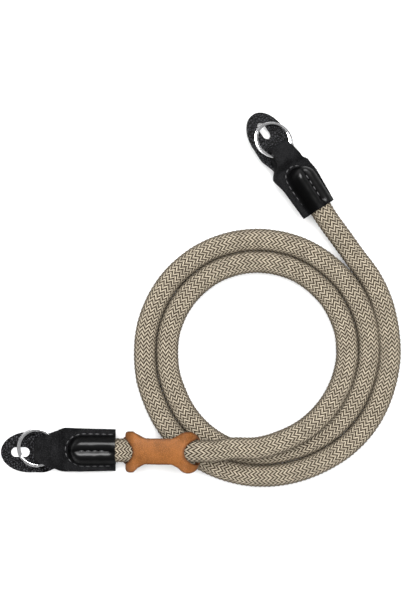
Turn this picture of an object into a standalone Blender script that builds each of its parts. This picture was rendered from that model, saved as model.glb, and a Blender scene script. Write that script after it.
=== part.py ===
"""Camera neck strap: a braided rope lying in a loose coil, with two leather ends, split rings and a slider.

Lengths are in millimetres and are turned into metres when a mesh or curve is made.
The strap lies flat on z = 0 and is seen from above, as in the photograph: +X is the photograph's
right and +Y its top.
"""
import math

import bmesh
import bpy
from mathutils import Euler, Matrix, Vector

MM = 0.001
GAP = 0.3

# Rope
ROPE_DIAMETER = 9.5
ROPE_SIDES_STEP = 4
ROPE_POINTS = 80
ROPE_SQUEEZE = 0.86
COIL_CENTRE = (40.8, -26.8)

# Leather ends, each in its own frame: x runs from the tip of its pad to the rope, z up
END_LENGTH = 52.2
PAD_LENGTH = 31.0
PAD_WIDTH = 18.4
PAD_THICKNESS = 1.3
PAD_TIP_LENGTH = 13.0
PAD_NECK_WIDTH = 13.0
PAD_NARROWS = (19.0, 28.0)
PAD_GAP = 0.25
SLOT_LENGTH = 8.5
SLOT_WIDTH = 4.5
SLOT_START = 4.6
STRIP_THICKNESS = 1.2
SHOULDER_WIDTH = 19.8
FOLD_RADIUS = 1.9
POCKET_RISE = 0.9
POCKET_END = 25.2
SEAM_AT = 29.5
FLANGE_HEIGHT = 4.9
BULGE_START = 31.0
BULGE_FULL = 36.0
BULGE_WIDTH = 12.4
GROOVE_DEPTH = 0.9
GROOVE_WIDTH = 2.6
GROOVE_FADE = 3.5
ROPE_HEIGHT = 6.6
ROPE_START = 36.0
FLOOR_GAP = 0.2

# Split rings
RING_DIAMETER = 17.5
RING_WIRE_WIDTH = 1.15
RING_WIRE_HEIGHT = 0.8
RING_COIL_GAP = 0.2
RING_STEP_DEGREES = 25.0
RING_SEGMENTS = 28
RING_TILT_DEGREES = 6.9
RING_TURN_SHIFT = 0.6

# Slider
SLIDER_CENTRE_X = -3.6
SLIDER_WAIST = 11.2
SLIDER_WIDTH = 18.5
SLIDER_HALF_LENGTH = 28.0
SLIDER_THICKNESS = 1.5
SLIDER_HOLE_AT = 18.3
SLIDER_HOLE_LENGTH = 13.2
SLIDER_HOLE_WIDTH = 11.4
SLIDER_ARCH = 1.2
SLIDER_LOBE_SHIFT = -0.35
SLIDER_BENDS = (9.0, 13.0)

# Each leather end: where the rope leaves it, how it is turned and rolled, and the sizes that differ.
# Its taper is the folded strip's width: place from the fold to the shoulder, share of the widening
ENDS = {
    "left": {
        "mouth": (-23.2, -71.1),
        "yaw": 0.0,
        "roll": 0.0,
        "pad_shift": -1.2,
        "mouth_width": 18.7,
        "fold_at": 15.2,
        "tab_width": 10.2,
        "shoulder_at": 29.2,
        "taper": ((0.0, 0.0), (0.33, 0.30), (0.61, 0.60), (0.74, 0.73), (0.87, 0.90), (1.0, 1.0)),
        "ring_at": (16.1, 0.9),
        "ring_turn": -130.0,
    },
    "upper": {
        "mouth": (66.78, 36.42),
        "yaw": -57.2,
        "roll": -25.0,
        "pad_shift": 0.35,
        "mouth_width": 16.9,
        "fold_at": 17.4,
        "tab_width": 9.2,
        "shoulder_at": 30.2,
        "taper": ((0.0, 0.0), (0.31, 0.17), (0.50, 0.25), (0.68, 0.36), (0.80, 0.58), (0.90, 0.83), (1.0, 1.0)),
        "ring_at": (14.6, 0.4),
        "ring_turn": 35.0,
    },
}

# The rope's route. First from inside the left end through the slider: x, y, height
LEAD_IN = (
    (-31.0, -71.1, 6.6),
    (-23.0, -71.1, 6.6),
    (-19.0, -71.1, 6.9),
    (-15.3, -71.1, 7.6),
    (-9.8, -71.0, 9.4),
    (-3.9, -71.0, 11.4),
    (2.0, -70.9, 13.4),
    (7.8, -70.9, 15.4),
    (12.3, -70.9, 16.6),
    (16.8, -70.9, 16.7),
    (22.1, -70.8, 16.1),
)
# Then round the coil's centre: angle in degrees, radius, height
COIL = (
    (-105, 44.5, 15.3),
    (-90, 42.8, 14.9),
    (-75, 41.3, 14.1),
    (-60, 40.6, 13.2),
    (-45, 40.2, 11.9),
    (-30, 40.1, 10.3),
    (-15, 40.3, 8.6),
    (0, 40.7, 6.6),
    (18, 40.9, 5.1),
    (40, 40.9, 4.8),
    (65, 40.9, 4.8),
    (90, 40.8, 4.8),
    (115, 40.8, 4.8),
    (140, 40.7, 4.8),
    (165, 40.8, 4.8),
    (190, 40.9, 4.8),
    (210, 41.6, 4.8),
    (225, 42.9, 4.8),
    (240, 44.3, 4.8),
    (255, 45.6, 4.8),
    (270, 46.0, 4.8),
    (285, 46.4, 4.8),
    (300, 47.3, 4.8),
    (315, 48.4, 4.8),
    (330, 49.3, 4.8),
    (345, 49.9, 4.8),
    (360, 50.6, 4.8),
    (378, 51.0, 4.8),
    (400, 51.0, 4.8),
    (425, 50.9, 4.8),
    (450, 50.8, 4.8),
    (475, 50.8, 4.8),
    (500, 50.8, 4.8),
    (525, 50.8, 4.8),
    (550, 51.0, 4.8),
    (570, 51.8, 4.8),
    (585, 53.0, 4.8),
    (600, 54.3, 4.8),
    (615, 55.1, 4.8),
    (630, 55.9, 4.8),
    (645, 56.6, 4.8),
    (660, 57.4, 4.8),
    (675, 58.6, 4.8),
    (690, 59.4, 4.8),
    (705, 59.6, 4.8),
    (720, 60.0, 4.8),
    (738, 60.5, 4.8),
    (752, 61.1, 5.0),
)
# Last, off the coil and up to the inside of the upper end: x, y, height
LEAD_OUT = (
    (84.3, 17.0, 5.8),
    (80.2, 22.6, 7.1),
    (76.5, 27.5, 8.3),
    (72.7, 32.6, 9.4),
    (69.1, 38.1, 9.9),
    (64.7, 44.9, 9.9),
)


def clear_scene():
    for old in list(bpy.data.objects):
        bpy.data.objects.remove(old, do_unlink=True)


def finish(name, colour, roughness, metallic=0.0):
    material = bpy.data.materials.new(name)
    material.use_nodes = True
    shader = material.node_tree.nodes["Principled BSDF"]
    shader.inputs["Base Color"].default_value = (*colour, 1.0)
    shader.inputs["Roughness"].default_value = roughness
    shader.inputs["Metallic"].default_value = metallic
    return material


def add_object(name, data, material):
    made = bpy.data.objects.new(name, data)
    bpy.context.scene.collection.objects.link(made)
    data.materials.append(material)
    return made


def ease(value, start, end):
    """0 before start, 1 after end and a smooth step between."""
    t = min(1.0, max(0.0, (value - start) / (end - start)))
    return t * t * (3.0 - 2.0 * t)


def through(rows, at):
    """The values of a table of rows at a first-column value, smoothly between its rows."""
    if at <= rows[0][0]:
        return rows[0][1:]
    for i in range(len(rows) - 1):
        a, b = rows[i], rows[i + 1]
        if at <= b[0]:
            before = rows[max(i - 1, 0)]
            after = rows[min(i + 2, len(rows) - 1)]
            t = (at - a[0]) / (b[0] - a[0])
            width = b[0] - a[0]
            found = []
            for k in range(1, len(a)):
                slope_a = (b[k] - before[k]) / (b[0] - before[0]) * width
                slope_b = (after[k] - a[k]) / (after[0] - a[0]) * width
                found.append(
                    (2 * t**3 - 3 * t**2 + 1) * a[k]
                    + (t**3 - 2 * t**2 + t) * slope_a
                    + (3 * t**2 - 2 * t**3) * b[k]
                    + (t**3 - t**2) * slope_b
                )
            return tuple(found)
    return rows[-1][1:]


def rope_route():
    """The rope's route. Its hidden ends run straight on inside the leather as far as ROPE_START."""
    points = [Vector(p) for p in LEAD_IN]
    for degrees, radius, height in COIL:
        turn = math.radians(degrees)
        x = COIL_CENTRE[0] + radius * math.cos(turn)
        y = COIL_CENTRE[1] + radius * math.sin(turn)
        points.append(Vector((x, y, height)))
    points.extend(Vector(p) for p in LEAD_OUT)
    hidden = END_LENGTH - ROPE_START
    for place, name, last, before in ((0, "left", 0, 1), (len(points), "upper", -1, -2)):
        run = (points[last] - points[before]).normalized()
        past = hidden - (points[last].xy - Vector(ENDS[name]["mouth"])).dot(run.xy)
        points.insert(place, points[last] + run * past)
    return points


def along(points, count):
    """count points, evenly spaced along one smooth curve through the points."""
    rows = [(0.0, *points[0])]
    for a, b in zip(points, points[1:]):
        rows.append((rows[-1][0] + (b - a).length, *b))
    total = rows[-1][0]
    return [Vector(through(rows, total * i / (count - 1))) for i in range(count)], total


def rope():
    points, total = along(rope_route(), ROPE_POINTS)
    hidden = END_LENGTH - ROPE_START
    curve = bpy.data.curves.new("rope", "CURVE")
    curve.dimensions = "3D"
    curve.bevel_depth = ROPE_DIAMETER / 2 * MM
    curve.bevel_resolution = ROPE_SIDES_STEP
    curve.use_fill_caps = True
    spline = curve.splines.new("POLY")
    spline.points.add(len(points) - 1)
    for i, (point, place) in enumerate(zip(spline.points, points)):
        point.co = (*(place * MM), 1.0)
        reach = min(i, len(points) - 1 - i) * total / (len(points) - 1)
        point.radius = ROPE_SQUEEZE + (1 - ROPE_SQUEEZE) * ease(reach, hidden * 0.5, hidden)
    return add_object("rope", curve, finish("rope_braid", (0.48, 0.42, 0.32), 0.9))


def end_frame(name, end):
    """An empty at the tip of an end's pad, END_LENGTH from the end's mouth. A rolled end lies on the
    low edge of its pad.
    """
    frame = bpy.data.objects.new(name + "_end", None)
    bpy.context.scene.collection.objects.link(frame)
    roll = math.radians(end["roll"])
    lift = PAD_WIDTH / 2 * abs(math.sin(roll)) - end["pad_shift"] * math.sin(roll)
    yaw = math.radians(end["yaw"])
    tip = Vector(end["mouth"]) - END_LENGTH * Vector((math.cos(yaw), math.sin(yaw)))
    frame.location = Vector((*tip, lift)) * MM
    frame.rotation_euler = (roll, 0.0, yaw)
    return frame


def pad_half_width(x):
    if x < PAD_TIP_LENGTH:
        return PAD_WIDTH / 2 * math.sqrt(max(0.0, 1 - (1 - x / PAD_TIP_LENGTH) ** 2))
    narrow = ease(x, *PAD_NARROWS)
    return PAD_WIDTH / 2 * (1 - narrow) + PAD_NECK_WIDTH / 2 * narrow


def closed_spline(curve, corners):
    spline = curve.splines.new("POLY")
    spline.points.add(len(corners) - 1)
    for point, (x, y) in zip(spline.points, corners):
        point.co = (x * MM, y * MM, 0.0, 1.0)
    spline.use_cyclic_u = True


def pad(name, frame, end, material):
    """The leather pad under the ring: an oval with a slot, and a neck sewn under the end."""
    curve = bpy.data.curves.new(name, "CURVE")
    curve.dimensions = "2D"
    curve.fill_mode = "BOTH"
    curve.extrude = PAD_THICKNESS / 2 * MM
    steps = 14
    stations = [PAD_TIP_LENGTH * (1 - math.cos(math.pi / 2 * i / steps)) for i in range(steps)]
    stations += [PAD_TIP_LENGTH + (PAD_LENGTH - PAD_TIP_LENGTH) * i / 8 for i in range(9)]
    shift = end["pad_shift"]
    upper = [(x, shift + pad_half_width(x)) for x in stations]
    lower = [(x, shift - pad_half_width(x)) for x in reversed(stations[1:])]
    closed_spline(curve, upper + lower)
    radius = SLOT_WIDTH / 2
    middles = (SLOT_START + radius, SLOT_START + SLOT_LENGTH - radius)
    corners = []
    for side, middle in ((1, middles[1]), (-1, middles[0])):
        for i in range(9):
            turn = math.pi * (i / 8 - 0.5)
            corners.append((middle + side * radius * math.cos(turn), shift + side * radius * math.sin(turn)))
    closed_spline(curve, corners)
    made = add_object(name, curve, material)
    made.parent = frame
    made.location = (0.0, 0.0, PAD_THICKNESS / 2 * MM)
    return made


# Heights of the folded strip's two layers, each measured at the middle of its thickness
BACK_AT_PAD = PAD_THICKNESS + PAD_GAP + STRIP_THICKNESS / 2
LAYER_STEP = STRIP_THICKNESS + GAP
COLUMNS = (0.24, 0.44, 0.60, 0.68, 0.83, 1.0)


def strip_half_width(x, end):
    fold = end["fold_at"]
    shoulder = end["shoulder_at"]
    if x < shoulder:
        share = through(end["taper"], (x - fold) / (shoulder - fold))[0]
        return (end["tab_width"] + (SHOULDER_WIDTH - end["tab_width"]) * share) / 2
    share = (x - shoulder) / (END_LENGTH - shoulder)
    return (SHOULDER_WIDTH + (end["mouth_width"] - SHOULDER_WIDTH) * share) / 2


def middle_height(x):
    """Height of the plane between the two layers where they are sewn together."""
    low = BACK_AT_PAD + LAYER_STEP / 2
    return low + (FLANGE_HEIGHT - low) * ease(x, BULGE_START - 0.5, BULGE_FULL + 1.0)


def bulge(x, y, power):
    """The rise over the rope as a share, 1 on its middle: straight sides and a round start."""
    radius = BULGE_WIDTH / 2
    t = math.hypot(min(0.0, x - BULGE_START - radius), y) / radius
    if t >= 1:
        return 0.0
    return (1 - t**power) ** 0.8


def front_height(x, y, end):
    fold_top = BACK_AT_PAD + 2 * FOLD_RADIUS
    pocket = fold_top + POCKET_RISE * ease(x, end["fold_at"] + FOLD_RADIUS, POCKET_END)
    sewn = middle_height(x) + LAYER_STEP / 2
    height = pocket + (sewn - pocket) * ease(x, POCKET_END, SEAM_AT)
    rope_top = ROPE_HEIGHT + ROPE_DIAMETER / 2 + GAP + STRIP_THICKNESS / 2
    height += (rope_top + GROOVE_DEPTH / 2 - height) * bulge(x, y, 3)
    groove = ease(x, BULGE_START, BULGE_FULL) * (1 - ease(x, END_LENGTH - GROOVE_FADE, END_LENGTH))
    return height - GROOVE_DEPTH * groove * math.exp(-((2 * y / GROOVE_WIDTH) ** 2))


def back_height(x, y):
    sewn = middle_height(x) - LAYER_STEP / 2
    deepest = STRIP_THICKNESS / 2 + FLOOR_GAP
    return sewn - (sewn - deepest) * bulge(x, y, 4)


def strip_rows(end):
    """Rows of the folded strip from the lower mouth, round its fold, to the upper mouth."""
    start = end["fold_at"] + STRIP_THICKNESS / 2 + FOLD_RADIUS
    tab = [start + (SEAM_AT - start) * share for share in (0.16, 0.33, 0.5, 0.66, 0.83)]
    round_start = [BULGE_START + BULGE_WIDTH / 2 * share for share in (0.0, 0.13, 0.3, 0.5, 0.75, 1.0)]
    groove_end = END_LENGTH - GROOVE_FADE
    tube = [round_start[-1] + (groove_end - round_start[-1]) * share for share in (0.3, 0.65, 1.0)]
    flat = [start] + tab + [SEAM_AT] + round_start + tube + [END_LENGTH - GROOVE_FADE / 2, END_LENGTH]
    fold = [math.pi * i / 6 for i in range(1, 6)]
    rows = [("back", x) for x in reversed(flat)]
    rows += [("fold", turn) for turn in fold]
    rows += [("front", x) for x in flat]
    return rows


def strip(name, frame, end, material):
    """One leather strip, folded round the ring and sewn together over the rope's end."""
    rows = strip_rows(end)
    shares = [-s for s in reversed(COLUMNS)] + [0.0] + list(COLUMNS)
    bm = bmesh.new()
    bmesh.ops.create_grid(bm, x_segments=len(rows) - 1, y_segments=len(shares) - 1, size=1.0)
    start = end["fold_at"] + STRIP_THICKNESS / 2 + FOLD_RADIUS
    for vert in bm.verts:
        layer, at = rows[round((vert.co.x + 1) / 2 * (len(rows) - 1))]
        share = shares[round((vert.co.y + 1) / 2 * (len(shares) - 1))]
        if layer == "fold":
            x = start - FOLD_RADIUS * math.sin(at)
            z = BACK_AT_PAD + FOLD_RADIUS * (1 - math.cos(at))
            y = share * strip_half_width(x, end)
        else:
            x = at
            y = share * strip_half_width(x, end)
            z = front_height(x, y, end) if layer == "front" else back_height(x, y)
        vert.co = Vector((x, y, z)) * MM
    mesh = bpy.data.meshes.new(name)
    bm.to_mesh(mesh)
    bm.free()
    made = add_object(name, mesh, material)
    made.parent = frame
    wall = made.modifiers.new("wall", "SOLIDIFY")
    wall.thickness = STRIP_THICKNESS * MM
    wall.offset = 0.0
    wall.use_even_offset = True
    return made


def ring(name, frame, end, material):
    """A split ring: one flat wire wound nearly twice, with a short step up between its turns."""
    bm = bmesh.new()
    middle = (RING_DIAMETER - RING_WIRE_WIDTH) / 2
    bmesh.ops.create_grid(bm, x_segments=1, y_segments=1, size=0.5)
    stand = Matrix.Rotation(math.radians(90), 4, "X")
    size = Matrix.Diagonal((RING_WIRE_WIDTH, RING_WIRE_HEIGHT, 1.0, 1.0))
    place = Matrix.Translation((middle, 0.0, RING_WIRE_HEIGHT / 2))
    bmesh.ops.transform(bm, matrix=Matrix.Scale(MM, 4) @ place @ stand @ size, verts=bm.verts)
    step = math.radians(RING_STEP_DEGREES)
    turned = math.radians(end["ring_turn"])
    beside = Vector((math.cos(turned), -math.sin(turned), 0.0)) * RING_TURN_SHIFT
    climb = (beside + Vector((0.0, 0.0, RING_WIRE_HEIGHT + RING_COIL_GAP))) * MM
    last = bm.faces[:] + bm.edges[:] + bm.verts[:]
    for angle, steps, move, centre in (
        (2 * math.pi - step, RING_SEGMENTS - 3, Vector(), Vector()),
        (step, 3, climb / 3, Vector()),
        (2 * math.pi - step, RING_SEGMENTS - 3, Vector(), beside * MM),
    ):
        spun = bmesh.ops.spin(bm, geom=last, cent=centre, axis=(0, 0, 1), dvec=move, angle=angle, steps=steps)
        last = spun["geom_last"]
    bmesh.ops.recalc_face_normals(bm, faces=bm.faces)
    mesh = bpy.data.meshes.new(name)
    bm.to_mesh(mesh)
    bm.free()
    made = add_object(name, mesh, material)
    made.parent = frame
    tilt = math.radians(RING_TILT_DEGREES)
    low = PAD_THICKNESS + PAD_GAP
    height = low + math.sin(tilt) * RING_DIAMETER / 2
    made.location = Vector((*end["ring_at"], height)) * MM
    made.rotation_euler = (
        Matrix.Rotation(-tilt, 3, "Y") @ Matrix.Rotation(turned, 3, "Z")
    ).to_euler()
    return made


# The slider's side view, from its middle outwards: place on the flat leather, how far out it lies
# on the left and on the right, and its height over the rope's centre
SLIDER_SIDE = (
    (0.0, 0.0, 0.0, 6.2),
    (5.0, 5.0, 5.0, 6.2),
    (9.5, 9.3, 9.4, 6.3),
    (11.7, 11.2, 11.5, 6.0),
    (13.7, 12.8, 13.4, 4.8),
    (15.8, 13.9, 15.1, 3.1),
    (17.9, 14.3, 16.3, 1.1),
    (20.0, 14.4, 16.9, -1.0),
    (22.0, 14.4, 17.1, -3.0),
    (23.6, 14.7, 17.4, -4.9),
    (25.1, 15.8, 18.0, -5.9),
    (28.0, 18.2, 18.8, -6.0),
)
# Half its width as a share of the full width's half: place along the flat leather, share
SLIDER_EDGE = (
    (0.0, 0.0),
    (0.20, 0.03),
    (0.32, 0.44),
    (0.42, 0.93),
    (0.48, 1.0),
    (0.54, 0.93),
    (0.61, 0.73),
    (0.69, 0.48),
    (0.78, 0.24),
)
SLIDER_ROUND_AT, SLIDER_ROUND_SHARE = SLIDER_EDGE[-1]


def slider_half_width(u):
    share = abs(u) / SLIDER_HALF_LENGTH
    if share < SLIDER_ROUND_AT:
        part = through(SLIDER_EDGE, share)[0]
        return (SLIDER_WAIST + (SLIDER_WIDTH - SLIDER_WAIST) * part) / 2
    widest = (SLIDER_WAIST + (SLIDER_WIDTH - SLIDER_WAIST) * SLIDER_ROUND_SHARE) / 2
    past = (share - SLIDER_ROUND_AT) / (1 - SLIDER_ROUND_AT)
    return widest * math.sqrt(max(0.0, 1 - past**2))


def rope_height(x):
    """Height of the rope's centre over a place on its straight lead through the slider."""
    return through([(px, pz) for px, _, pz in LEAD_IN], x)[0]


def slider_place(u, y):
    """Where a point of the flat leather lies once the rope is threaded through its two holes."""
    left, right, height = through(SLIDER_SIDE, abs(u))
    x = SLIDER_CENTRE_X + (right if u > 0 else -left)
    sag = SLIDER_ARCH * min(1.0, abs(y) / (SLIDER_WAIST / 2)) ** 2
    arch = sag * (1 - ease(abs(u), *SLIDER_BENDS))
    middle = through([(px, py) for px, py, _ in LEAD_IN], x)[0]
    middle += SLIDER_LOBE_SHIFT * ease(abs(u), *SLIDER_BENDS)
    return Vector((x, middle + y, rope_height(x) + height - arch))


def slider():
    """A bone-shaped leather keeper: its bridge lies over the rope and its ends pass under it."""
    outline = bpy.data.curves.new("slider_outline", "CURVE")
    outline.dimensions = "2D"
    outline.fill_mode = "BOTH"
    count = 24
    stations = [-SLIDER_HALF_LENGTH * math.cos(math.pi * i / count) for i in range(count + 1)]
    upper = [(u, slider_half_width(u)) for u in stations]
    lower = [(u, -slider_half_width(u)) for u in reversed(stations[1:-1])]
    closed_spline(outline, upper + lower)
    for side in (-1, 1):
        hole = []
        for i in range(14):
            turn = 2 * math.pi * i / 14
            u = side * SLIDER_HOLE_AT + SLIDER_HOLE_LENGTH / 2 * math.cos(turn)
            hole.append((u, SLIDER_HOLE_WIDTH / 2 * math.sin(turn)))
        closed_spline(outline, hole)
    flat = bpy.data.objects.new("slider_outline", outline)
    mesh = bpy.data.meshes.new_from_object(flat)
    bpy.data.objects.remove(flat)
    mesh.name = "slider"
    bm = bmesh.new()
    bm.from_mesh(mesh)
    bmesh.ops.remove_doubles(bm, verts=bm.verts, dist=0.01 * MM)
    bmesh.ops.dissolve_limit(bm, angle_limit=0.01, verts=bm.verts, edges=bm.edges)
    cuts = [(SLIDER_HALF_LENGTH * i / 11 * MM, (1, 0, 0)) for i in range(-10, 11)]
    cuts += [(SLIDER_WAIST * i / 4 * MM, (0, 1, 0)) for i in range(-2, 3)]
    for at, normal in cuts:
        geometry = bm.verts[:] + bm.edges[:] + bm.faces[:]
        bmesh.ops.bisect_plane(
            bm, geom=geometry, dist=0.001 * MM, plane_co=Vector(normal) * at, plane_no=normal
        )
    for vert in bm.verts:
        vert.co = slider_place(vert.co.x / MM, vert.co.y / MM) * MM
    bmesh.ops.triangulate(bm, faces=bm.faces)
    bmesh.ops.recalc_face_normals(bm, faces=bm.faces)
    bm.to_mesh(mesh)
    bm.free()
    made = add_object("slider", mesh, finish("tan_leather", (0.42, 0.17, 0.05), 0.55))
    wall = made.modifiers.new("wall", "SOLIDIFY")
    wall.thickness = SLIDER_THICKNESS * MM
    wall.offset = 0.0
    return made


def main():
    clear_scene()
    rope()
    black = finish("black_leather", (0.012, 0.012, 0.014), 0.45)
    grain = finish("black_pad_leather", (0.02, 0.02, 0.022), 0.6)
    steel = finish("ring_steel", (0.75, 0.75, 0.76), 0.25, 1.0)
    for name, end in ENDS.items():
        frame = end_frame(name, end)
        pad(name + "_pad", frame, end, grain)
        strip(name + "_cuff", frame, end, black)
        ring(name + "_ring", frame, end, steel)
    slider()


main()
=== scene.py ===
"""Camera neck strap: the looks of a braided rope strap with leather ends, split rings and a slider."""
import math

import bmesh
import bpy
from bpy.props import FloatProperty, FloatVectorProperty, IntProperty, PointerProperty
from mathutils import Matrix, Vector, noise


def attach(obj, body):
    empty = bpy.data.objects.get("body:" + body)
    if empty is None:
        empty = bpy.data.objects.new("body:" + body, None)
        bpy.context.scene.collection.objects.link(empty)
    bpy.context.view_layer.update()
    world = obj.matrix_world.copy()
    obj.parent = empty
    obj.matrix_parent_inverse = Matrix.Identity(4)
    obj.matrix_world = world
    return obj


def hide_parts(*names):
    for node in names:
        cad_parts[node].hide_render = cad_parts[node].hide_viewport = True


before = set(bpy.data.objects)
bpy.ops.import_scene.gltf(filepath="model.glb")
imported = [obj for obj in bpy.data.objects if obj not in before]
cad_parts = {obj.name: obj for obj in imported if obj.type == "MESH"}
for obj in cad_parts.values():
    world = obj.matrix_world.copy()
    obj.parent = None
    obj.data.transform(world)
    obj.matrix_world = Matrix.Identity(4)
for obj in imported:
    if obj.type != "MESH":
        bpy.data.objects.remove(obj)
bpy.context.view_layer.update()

bl_info = {
    "name": "Camera neck strap",
    "version": (1, 0),
    "blender": (4, 5, 0),
    "location": "3D View > Sidebar > Strap",
    "description": "Braided rope, leather ends, split rings and slider of a camera neck strap",
    "category": "Object",
}

MM = 0.001

# The rope's route. From inside the left end through the slider: x, y, height, in metres
LEAD_IN = (
    (-0.0310, -0.0711, 0.0066),
    (-0.0230, -0.0711, 0.0066),
    (-0.0190, -0.0711, 0.0069),
    (-0.0153, -0.0711, 0.0076),
    (-0.0098, -0.0710, 0.0094),
    (-0.0039, -0.0710, 0.0114),
    (0.0020, -0.0709, 0.0134),
    (0.0078, -0.0709, 0.0154),
    (0.0123, -0.0709, 0.0166),
    (0.0168, -0.0709, 0.0167),
    (0.0221, -0.0708, 0.0161),
)
# Round the coil's centre: angle in degrees, radius and height in metres
COIL_CENTRE = (0.0408, -0.0268)
COIL = (
    (-105, 0.0445, 0.0153),
    (-90, 0.0428, 0.0149),
    (-75, 0.0413, 0.0141),
    (-60, 0.0406, 0.0132),
    (-45, 0.0402, 0.0119),
    (-30, 0.0401, 0.0103),
    (-15, 0.0403, 0.0086),
    (0, 0.0407, 0.0066),
    (18, 0.0409, 0.0051),
    (40, 0.0409, 0.0048),
    (65, 0.0409, 0.0048),
    (90, 0.0408, 0.0048),
    (115, 0.0408, 0.0048),
    (140, 0.0407, 0.0048),
    (165, 0.0408, 0.0048),
    (190, 0.0409, 0.0048),
    (210, 0.0416, 0.0048),
    (225, 0.0429, 0.0048),
    (240, 0.0443, 0.0048),
    (255, 0.0456, 0.0048),
    (270, 0.0460, 0.0048),
    (285, 0.0464, 0.0048),
    (300, 0.0473, 0.0048),
    (315, 0.0484, 0.0048),
    (330, 0.0493, 0.0048),
    (345, 0.0499, 0.0048),
    (360, 0.0506, 0.0048),
    (378, 0.0510, 0.0048),
    (400, 0.0510, 0.0048),
    (425, 0.0509, 0.0048),
    (450, 0.0508, 0.0048),
    (475, 0.0508, 0.0048),
    (500, 0.0508, 0.0048),
    (525, 0.0508, 0.0048),
    (550, 0.0510, 0.0048),
    (570, 0.0518, 0.0048),
    (585, 0.0530, 0.0048),
    (600, 0.0543, 0.0048),
    (615, 0.0551, 0.0048),
    (630, 0.0559, 0.0048),
    (645, 0.0566, 0.0048),
    (660, 0.0574, 0.0048),
    (675, 0.0586, 0.0048),
    (690, 0.0594, 0.0048),
    (705, 0.0596, 0.0048),
    (720, 0.0600, 0.0048),
    (738, 0.0605, 0.0048),
    (752, 0.0611, 0.0050),
)
# Off the coil and into the upper end: x, y, height, in metres
LEAD_OUT = (
    (0.0843, 0.0170, 0.0058),
    (0.0802, 0.0226, 0.0071),
    (0.0765, 0.0275, 0.0083),
    (0.0727, 0.0326, 0.0094),
    (0.0691, 0.0381, 0.0099),
    (0.0647, 0.0449, 0.0099),
)

# The leather ends, each in its own frame: x runs from its pad's tip to the rope, z up, in millimetres
END_LENGTH = 52.2
PAD_LENGTH = 31.0
PAD_WIDTH = 18.4
PAD_THICKNESS = 1.3
PAD_TIP_LENGTH = 13.0
PAD_NECK_WIDTH = 13.0
PAD_NARROWS = (19.0, 28.0)
PAD_GAP = 0.25
SLOT_LENGTH = 8.5
SLOT_WIDTH = 4.5
SLOT_START = 4.6
STRIP_THICKNESS = 1.2
SHOULDER_WIDTH = 19.8
FOLD_RADIUS = 1.9
POCKET_RISE = 0.9
POCKET_END = 25.2
SEAM_AT = 29.5
FLANGE_HEIGHT = 4.9
BULGE_START = 31.0
BULGE_FULL = 36.0
BULGE_WIDTH = 12.4
GROOVE_DEPTH = 1.2
GROOVE_WIDTH = 3.0
GROOVE_FADE = 3.5
RIDGE_AT = 2.2
RIDGE_WIDTH = 1.5
UNEVEN = 0.10
ROPE_HEIGHT = 6.6
ROPE_START = 36.0
FLOOR_GAP = 0.2
CORE_DIAMETER = 9.5
GAP = 0.3
# The folded strip lies on its pad: the middle of its back layer, and the step from there to its front
BACK_AT_PAD = PAD_THICKNESS + PAD_GAP + STRIP_THICKNESS / 2
LAYER_STEP = STRIP_THICKNESS + GAP
# The seam round the bulge, a little in from the strip's edges, and the seam along its groove
SEAM_INSET = 2.3
SEAM_ROUND_AT = 38.0
SEAM_FRONT = 29.3
SEAM_END = 0.8
CENTRE_SEAM = (32.7, 49.5)
SEAM_PRESS = 0.14
SEAM_PRESS_WIDTH = 0.45
STITCH_LIFT = 0.02
STITCH_HEIGHT = 0.42
# What differs between the ends: where the rope leaves it, and how it is turned and rolled, in degrees.
# Its taper is the folded strip's width: place from the fold to the shoulder, share of the widening.
# Its ring's middle is in its own frame, and the ring's turn is where the wire ends, in degrees
ENDS = {
    "left": {
        "mouth": (-23.2, -71.1),
        "yaw": 0.0,
        "roll": 0.0,
        "pad_shift": -1.2,
        "mouth_width": 18.7,
        "fold_at": 15.2,
        "tab_width": 10.2,
        "shoulder_at": 29.2,
        "taper": ((0.0, 0.0), (0.33, 0.30), (0.61, 0.60), (0.74, 0.73), (0.87, 0.90), (1.0, 1.0)),
        "ring_at": (16.1, 0.9),
        "ring_turn": -130.0,
    },
    "upper": {
        "mouth": (66.78, 36.42),
        "yaw": -57.2,
        "roll": -25.0,
        "pad_shift": 0.35,
        "mouth_width": 16.9,
        "fold_at": 17.4,
        "tab_width": 9.2,
        "shoulder_at": 30.2,
        "taper": (
            (0.0, 0.0),
            (0.31, 0.17),
            (0.50, 0.25),
            (0.68, 0.36),
            (0.80, 0.58),
            (0.90, 0.83),
            (1.0, 1.0),
        ),
        "ring_at": (14.6, 0.4),
        "ring_turn": 35.0,
    },
}

# The slider, in millimetres
SLIDER_CENTRE_X = -3.6
SLIDER_HALF_LENGTH = 28.0
SLIDER_HOLE_AT = 18.3
SLIDER_LOBE_SHIFT = -0.35
SLIDER_BENDS = (9.0, 13.0)
# Its side view: place on the flat leather, reach to the left and right, height over the rope's centre
SLIDER_SIDE = (
    (0.0, 0.0, 0.0, 6.2),
    (5.0, 5.0, 5.0, 6.2),
    (9.5, 9.3, 9.4, 6.3),
    (11.7, 11.2, 11.5, 6.0),
    (13.7, 12.8, 13.4, 4.8),
    (15.8, 13.9, 15.1, 3.1),
    (17.9, 14.3, 16.3, 1.1),
    (20.0, 14.4, 16.9, -1.0),
    (22.0, 14.4, 17.1, -3.0),
    (23.6, 14.7, 17.4, -4.9),
    (25.1, 15.8, 18.0, -5.9),
    (28.0, 18.2, 18.8, -6.0),
)
# Its edge from waist to lobe: place as a share of its half length, share of the widening. Past the
# last row the lobe is round
SLIDER_EDGE = (
    (0.0, 0.0),
    (0.20, 0.03),
    (0.32, 0.44),
    (0.42, 0.93),
    (0.48, 1.0),
    (0.54, 0.93),
    (0.61, 0.73),
    (0.69, 0.48),
    (0.78, 0.24),
)
SLIDER_ROUND_AT, SLIDER_ROUND_SHARE = SLIDER_EDGE[-1]

# How far round a split ring its wire steps up from one turn to the next
RING_STEP_DEGREES = 25.0

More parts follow.
